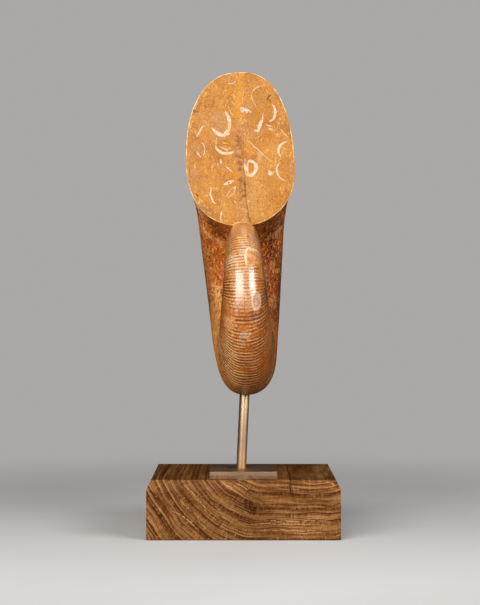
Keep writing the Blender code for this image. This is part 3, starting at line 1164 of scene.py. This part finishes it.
def round_edges(piece, radius):
    """Rounds a piece's square edges a little, apart from those of its underside, with its flat faces
    still shaded flat."""
    pick(piece)
    bpy.ops.object.shade_smooth()
    edit(piece)
    bpy.ops.mesh.select_mode(type="EDGE")
    bpy.ops.mesh.select_all(action="DESELECT")
    bpy.ops.mesh.edges_select_sharp(sharpness=math.radians(35))
    bpy.ops.mesh.select_all(action="INVERT")
    bpy.ops.mesh.mark_sharp()
    end_edit()
    corners = piece.data.vertices
    underside = min(vert.co.z for vert in corners) + 0.1 * MM
    for line in piece.data.edges:
        if all(corners[index].co.z < underside for index in line.vertices):
            line.use_edge_sharp = True
        line.select = not line.use_edge_sharp
    edit(piece)
    bpy.ops.mesh.bevel(offset=radius, segments=3, harden_normals=True)
    end_edit()


def make_metal(name, tint, brushed_along, roughness, glancing_tint=(1, 1, 1)):
    """Pale champagne metal with a satin finish, fine brushing, and its own tint at a low angle."""
    material, _, shader, place = new_material(name)
    lines = noise_value(stretched(place, brushed_along), 1, 3)
    smudges = mottle(place, 60, 0.35, 0.7)
    dull = tuple(0.86 * part for part in tint)
    mix(smudges, dull, tint).feed(shader["Base Color"])
    (lines * 0.16 + smudges * 0.05 + (roughness - 0.08)).feed(shader["Roughness"])
    bumped(lines, 0.00002, 0.4).feed(shader["Normal"])
    shader["Metallic"].default_value = 1
    shader["Specular Tint"].default_value = (*glancing_tint, 1)
    return material


def make_rod():
    deselect_all()
    diameter = ROD_HIGH.y - ROD_LOW.y
    length = (ROD_HIGH.z - ROD_LOW.z - diameter * math.sin(ROD_LEAN)) / math.cos(ROD_LEAN)
    bpy.ops.mesh.primitive_cylinder_add(
        vertices=96,
        radius=diameter / 2,
        depth=length,
        location=(ROD_LOW + ROD_HIGH) / 2,
        rotation=(0, ROD_LEAN, 0),
    )
    rod = new_piece("metal_rod")
    select_faces(rod, lambda polygon: abs(polygon.normal.z) > 0.9)
    edit(rod)
    bpy.ops.mesh.select_mode(type="FACE")
    bpy.ops.mesh.bevel(offset=ROD_ROUND, segments=3)
    end_edit()
    smooth(rod, 40)
    rod.data.materials.append(make_metal("satin_rod_metal", ROD_METAL, ROD_BRUSHING, 0.42))
    finish_piece(rod, "rod_metal", "support_rod")


def make_plate():
    plate = add_box(
        "metal_plate",
        Vector((PLATE_LOW.x, PLATE_LOW.y, BLOCK_HIGH.z + PLATE_GAP)),
        PLATE_HIGH,
    )
    round_edges(plate, PLATE_ROUND)
    look = (PLATE_METAL, PLATE_BRUSHING, 0.44, GLANCING_PLATE_METAL)
    plate.data.materials.append(make_metal("brushed_plate_metal", *look))
    finish_piece(plate, "plate_metal", "base_plate")


# ------ the oak block

# The long pith that the growth rings run round, above the block
PITH_HEIGHT = 0.074
PITH_LEFT = 0.016
PITH_RIGHT = 0.066
RING_GAP = 0.005
# How far down and in the chamfer of the block's top edges goes
CHAMFER_DOWN = 0.0072
CHAMFER_IN = 0.0035
# Dark bands, pale lines and cracks of the front end of the oak, as for the shell fragments, from
# the middle of the block's bottom edge
OAK_BANDS = (
    (-39.6, 38, -15, 14.2, -2, 3.2),
    (-57, 40, -34, 8.6, -3.2, 3),
    (-75, 28, -51, 0, -2.6, 3),
    (-73, 39, -57, 17, -1.6, 4),
    (-3, 38.6, 22, 23, -1.6, 1.6),
    (3, 38, 40, 31.6, -0.8, 1.4),
    (38, 31.2, 71, 29, -1.2, 1.8),
    (2, 32, 9, 19, 0.6, 9),
    (18, 17, 50, 16.4, -0.4, 1.8),
    (28, 24.6, 46, 24.8, 0.3, 1.6),
    (60, 24.6, 71, 25.4, -0.4, 1.4),
)
OAK_PALE_LINES = (
    (-46, 43, -27, 19.4, -1.4, 0.9),
    (-56, 22, -34, 5.4, -2.6, 1),
    (-18, 45, 2, 30.6, -0.8, 0.7),
    (-14, 45, 6, 31.6, -0.9, 0.6),
    (-10, 45, 10, 34, -1, 0.7),
    (10, 14.6, 70, 15.6, 0.8, 1),
    (-2, 11.6, 66, 10.8, -1, 0.9),
    (8, 6.8, 60, 6.6, -0.6, 0.9),
    (62, 45, 73, 40.6, -0.4, 0.7),
)
OAK_RING_COLOURS = (
    (0, (0.046, 0.012, 0.002)),
    (0.14, (0.078, 0.022, 0.003)),
    (0.36, (0.168, 0.062, 0.014)),
    (0.7, (0.248, 0.102, 0.028)),
    (0.9, (0.37, 0.176, 0.062)),
    (1, (0.156, 0.048, 0.007)),
)
OAK_DARK_MIDDLE = (
    (-14, 36, 30, 6, 0, 34),
)
OAK_DARK_TOP = (
    (28, 46.6, 76, 46.6, 0, 3),
)
OAK_WARM_TOP = (
    (-78, 46.6, 78, 46.6, 0, 3),
)
OAK_CRACKS = (
    (-15.4, 14.8, -20.2, 8, 0.4, 1.1),
    (36.4, 50, 36.8, 33, 0.4, 1.5),
    (37.4, 44, 38.2, 28, -0.3, 0.8),
)


def make_oak():
    """Varnished oak: growth rings round a long pith above the block, dark pores and pale rays."""
    material, tree, shader, place = new_material("satin_oak")
    long_grain = stretched(place, (1, 0.22, 1), (0, 0, math.radians(4)))
    bent = place + shiver(long_grain, 20, 3, 0.01) + shiver(long_grain, 150, 3, 0.0014)
    from_left = bent.dot(RIGHT)
    along_grain = bent.dot(BACK)
    along_pith = add(tree, "ShaderNodeClamp", {0: from_left, 1: PITH_LEFT, 2: PITH_RIGHT})
    across = from_left - along_pith
    down = PITH_HEIGHT - bent.dot(UP)
    reach = (across * across + down * down).maths("SQRT")
    tangent = across.maths("ARCTAN2", down) * 0.05 + along_pith

    # growth rings of uneven width, dark where each begins, and some quieter than others
    ring = reach / RING_GAP
    uneven = {"W": ring, "Scale": 0.6, "Detail": 1}
    ring = add(tree, "ShaderNodeTexNoise", uneven, noise_dimensions="1D") * 2.6 + ring
    share = ring.maths("FRACT")
    colour = ramp(share, OAK_RING_COLOURS)
    whole = {"W": ring.maths("FLOOR")}
    tone = add(tree, "ShaderNodeTexWhiteNoise", whole, "Value", noise_dimensions="1D")
    quiet = mix(mottle(long_grain, 60, 0.35, 0.65), (0.138, 0.045, 0.007), (0.238, 0.1, 0.027))
    colour.lay(fade(tone, 0.2, 1), 0.75, quiet)

    # fine lines along the rings, files of pores and rays across them, and single pores
    lines = noise_value(combined(reach * 1150, tangent * 42, along_grain * 10), 1, 2)
    colour.lay(fade(lines, 0.51, 0.62), 0.7, (0.051, 0.013, 0.002))
    colour.lay(fade(lines, 0.46, 0.35), 0.55, (0.465, 0.232, 0.084))
    files = noise_value(combined(tangent * 760, reach * 170, along_grain * 16), 1, 3)
    files_cover = fade(files, 0.49, 0.6) * fade(share, 0.05, 0.7, 1, 0.2)
    colour.lay(files_cover, 0.85, (0.04, 0.008, 0.001))
    colour.lay(fade(files, 0.42, 0.3), 0.55, (0.425, 0.208, 0.076))
    pores = noise_value(stretched(place, (1, 0.05, 1)), 780, 3)
    pores_cover = fade(pores, 0.54, 0.62) * fade(share, 0.1, 0.8, 1, 0.3)
    colour.lay(pores_cover, 0.75, (0.034, 0.007, 0.001))
    clouds = mottle(long_grain, 34, 0.4, 0.62, shift=0.6)
    colour.lay(clouds, 0.35, (0.101, 0.03, 0.004))

    # bands, lines and cracks
    flat = place * FLAT + shiver(long_grain, 150, 3, 0.003)
    rough = fade(noise_value(place, 700, 3), 0.36, 0.54)
    bands = all_slices(flat, OAK_BANDS, 0.0011) * rough
    colour.lay(bands, 0.8, (0.046, 0.009, 0.001))
    pale_lines = all_slices(flat, OAK_PALE_LINES, 0.0004) * rough
    colour.lay(pale_lines, 0.85, (0.5, 0.262, 0.104))
    dark_middle = all_slices(flat, OAK_DARK_MIDDLE, 0.01)
    dark_top = all_slices(flat, OAK_DARK_TOP, 0.0006)
    colour.lay(highest(dark_middle, dark_top), 0.6, (0.62, 0.56, 0.5), "MULTIPLY")
    warm_top = all_slices(flat, OAK_WARM_TOP, 0.0006)
    colour.lay(warm_top, 0.42, (0.15, 0.058, 0.016))
    colour.lay(warm_top, 0.9, (1, 0.87, 0.52), "MULTIPLY")
    cracks = all_slices(flat, OAK_CRACKS, 0.0005)
    colour.lay(cracks, 0.85, (0.023, 0.005, 0.001))

    colour.feed(shader["Base Color"])
    (pores_cover * 0.2 + 0.4).feed(shader["Roughness"])
    bumped(pores_cover * -0.7 + lines * 0.3, 0.00012, 0.6).feed(shader["Normal"])
    shader["Specular IOR Level"].default_value = 0.1
    shader["Coat Weight"].default_value = 0.42
    shader["Coat Roughness"].default_value = 0.07
    return material


def make_block():
    block = add_box("chamfered_oak_block", BLOCK_LOW, BLOCK_HIGH)
    edit(block)
    bpy.ops.mesh.select_all(action="SELECT")
    bpy.ops.mesh.bisect(plane_co=(0, 0, BLOCK_HIGH.z - CHAMFER_DOWN), plane_no=(0, 0, 1))
    end_edit()
    select_faces(block, lambda polygon: polygon.normal.z > 0.9)
    edit(block)
    bpy.ops.mesh.select_mode(type="FACE")
    size = BLOCK_HIGH - BLOCK_LOW
    shrink = (1 - 2 * CHAMFER_IN / size.x, 1 - 2 * CHAMFER_IN / size.y, 1)
    bpy.ops.transform.resize(value=shrink, center_override=(0, 0, BLOCK_HIGH.z))
    end_edit()
    round_edges(block, BLOCK_ROUND)
    block.data.materials.append(make_oak())
    finish_piece(block, "oak", "oak_block")


# ------ the studio

ROOM_COLOUR = (0.4, 0.395, 0.385, 1)
ROOM_GLOW = 0.16
MIRRORED_ROOM = 0.02
FLOOR_RADIUS = 12
FLOOR_GAP = 0.0005
# The distances, in metres, between which the floor fades into the room
FLOOR_FADES = (0.2, 0.62)


# The place that every light is aimed at
LIT_PLACE = Vector((0, -0.03, 0.2))
# Soft lights: name, degrees round from the front and up, distance, width, height, watts, and
# whether the pieces mirror it
SOFTBOXES = (
    ("left_softbox", -28, 18, 1, 0.84, 0.57, 9.3, True),
    ("right_softbox", 49, 19, 1, 0.74, 0.52, 9.4, True),
    ("low_front_fill", -22, 0, 1, 0.6, 0.5, 3.6, False),
    ("top_softbox", 0, 72, 1.4, 0.7, 0.5, 3, True),
    ("low_left_fill", -62, -2, 0.9, 0.5, 0.4, 2.4, False),
)


def make_floor():
    """A pale floor that fades into the colour of the room."""
    deselect_all()
    bpy.ops.mesh.primitive_circle_add(
        vertices=96,
        radius=FLOOR_RADIUS,
        fill_type="NGON",
        location=(0, 0, -FLOOR_GAP),
    )
    floor = new_piece("pale_floor")
    material, tree, shader, place = new_material("pale_paper")
    tone = mottle(place, 3, 0.3, 0.7)
    mix(tone, (0.56, 0.55, 0.535), (0.6, 0.59, 0.575)).feed(shader["Base Color"])
    shader["Roughness"].default_value = 0.8
    shader["Specular IOR Level"].default_value = 0.2
    outlet = tree.nodes["Material Output"].inputs["Surface"]
    paper = Flow(outlet.links[0].from_socket)
    room = add(tree, "ShaderNodeEmission", {"Color": ROOM_COLOUR})
    far = fade(place.length(), *FLOOR_FADES)
    add(tree, "ShaderNodeMixShader", {0: far, 1: paper, 2: room}).feed(outlet)
    floor.data.materials.append(material)
    floor.visible_glossy = False
    floor.visible_diffuse = False


def make_room():
    """A plain grey room, which lights the shell only a little and is hardly mirrored."""
    world = bpy.data.worlds.new("soft_room")
    world.use_nodes = True
    tree = world.node_tree
    mirrored = add(tree, "ShaderNodeLightPath", output="Is Glossy Ray")
    seen = add(tree, "ShaderNodeLightPath", output="Is Camera Ray")
    background = tree.nodes["Background"].inputs
    background["Color"].default_value = ROOM_COLOUR
    glow = mirrored * (MIRRORED_ROOM - ROOM_GLOW) + ROOM_GLOW
    highest(seen, glow).feed(background["Strength"])
    bpy.context.scene.world = world


def add_softbox(name, azimuth, elevation, distance, width, height, power, mirrored):
    """A soft area light, placed by its direction from the shell as seen from the front."""
    turn = math.radians(azimuth)
    lift = math.radians(elevation)
    level = math.cos(lift)
    way = Vector((math.sin(turn) * level, -math.cos(turn) * level, math.sin(lift)))
    data = bpy.data.lights.new(name, "AREA")
    data.shape = "RECTANGLE"
    data.size = width
    data.size_y = height
    data.energy = power
    light = bpy.data.objects.new(name, data)
    bpy.context.scene.collection.objects.link(light)
    light.location = LIT_PLACE + way * distance
    light.rotation_euler = (-way).to_track_quat("-Z", "Y").to_euler()
    light.visible_camera = False
    light.visible_glossy = mirrored


def add_camera():
    data = bpy.data.cameras.new("front_camera")
    data.lens = CAMERA_LENS
    data.shift_y = CAMERA_SHIFT
    data.dof.use_dof = False
    camera = bpy.data.objects.new("front_camera", data)
    camera.location = (CAMERA_X, -CAMERA_DISTANCE, CAMERA_HEIGHT)
    camera.rotation_euler = (math.pi / 2, 0, 0)
    bpy.context.scene.collection.objects.link(camera)
    bpy.context.scene.camera = camera


add_camera()
make_whorls(make_shell_stone())
make_sawn_mouth()
make_rod()
make_plate()
make_block()
make_floor()
make_room()
for softbox in SOFTBOXES:
    add_softbox(*softbox)
bpy.context.scene.view_settings.view_transform = "Standard"
